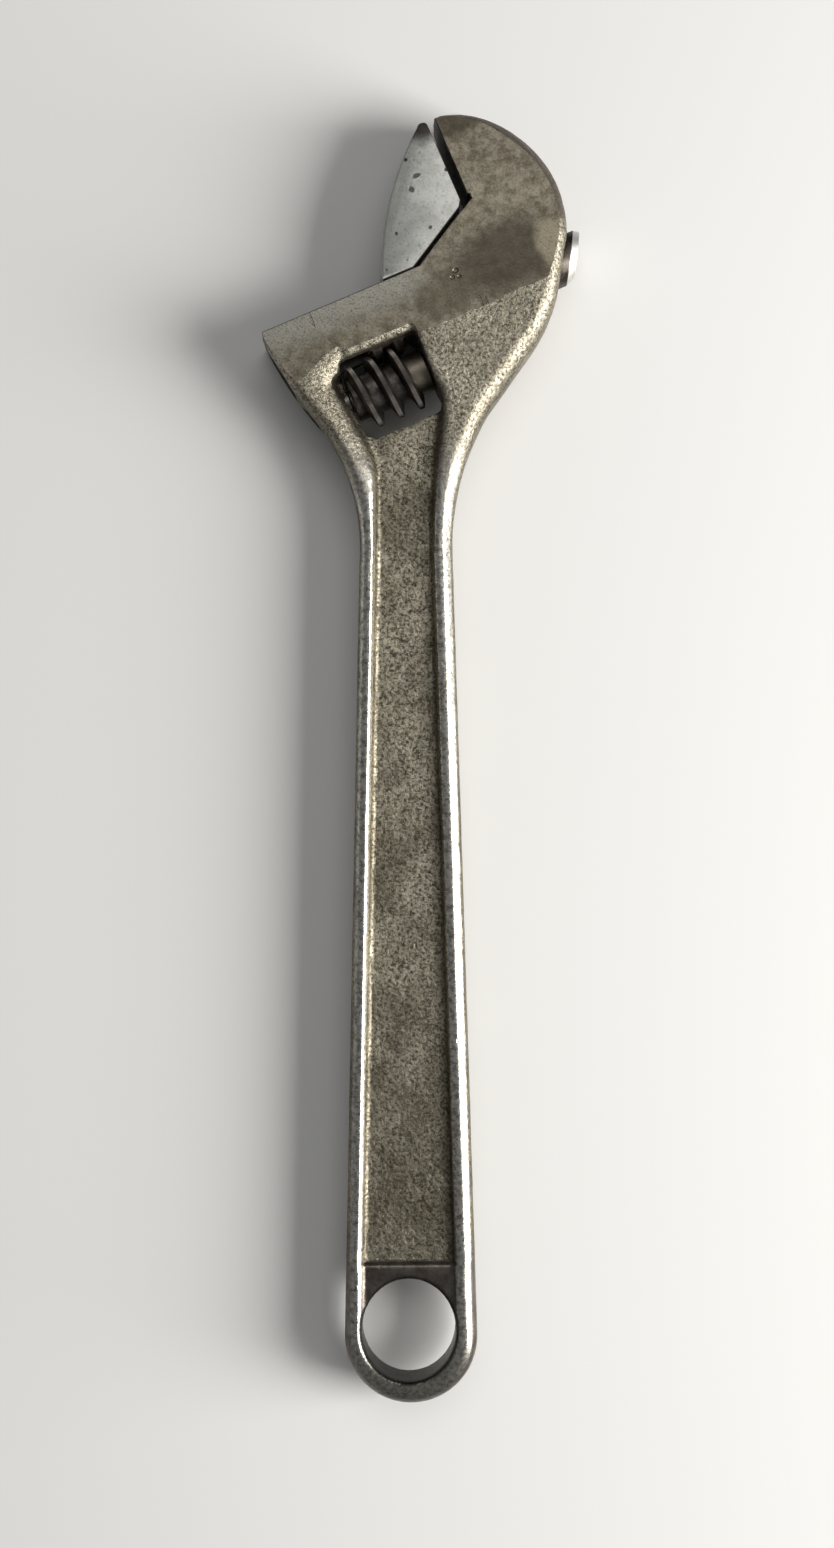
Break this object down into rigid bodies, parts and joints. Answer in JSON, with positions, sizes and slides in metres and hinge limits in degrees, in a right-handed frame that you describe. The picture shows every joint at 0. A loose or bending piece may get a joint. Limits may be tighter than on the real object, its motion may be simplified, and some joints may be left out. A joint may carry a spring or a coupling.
{
  "type": "adjustable wrench",
  "caption": "Adjustable wrench with a forged ribbed handle, a hanging eye, a fixed jaw and a sliding jaw driven by a knurled worm.",
  "frame": {"origin": "centre of the bounding box, at the underside of the head", "axes": "+Y up the handle from the hanging eye to the head, +Z through the thickness and out of the upper face, +X towards the fixed jaw's side; the mouth's axis runs from -X-Y to +X+Y at 22.5 degrees to X"},
  "size_m": [0.0746, 0.3048, 0.019],
  "materials": {
    "body": "worn forged steel: ground and polished on the head's faces, grainy where it was left as forged",
    "movable_jaw": "ground steel, paler and smoother than the body, lightly pitted",
    "worm_knurl": "dark oiled steel with fine cross knurling on the thread crests",
    "worm_pin": "dark plain steel",
    "worm_spring": "dark spring wire"
  },
  "bodies": {
    "frame": {"body": "body", "worm_pin": "worm_pin", "worm_spring": "worm_spring"},
    "jaw": {"movable_jaw": "movable_jaw"},
    "worm": {"worm_knurl": "worm_knurl"}
  },
  "joints": [
    {"name": "jaw_slide", "type": "slide", "parent": "frame", "child": "jaw", "axis": [0.9239, 0.3827, 0], "range_m": [-0.0318, 0.0018]},
    {"name": "worm_spin", "type": "hinge", "parent": "frame", "child": "worm", "pos_m": [-0.00734, 0.0893, 0.0095], "axis": [0.9239, 0.3827, 0], "range_deg": [-125, 2165]}
  ],
  "couplings": [
    {"joint": "worm_spin", "follows": "jaw_slide", "rad_per_m": -1185.5}
  ]
}
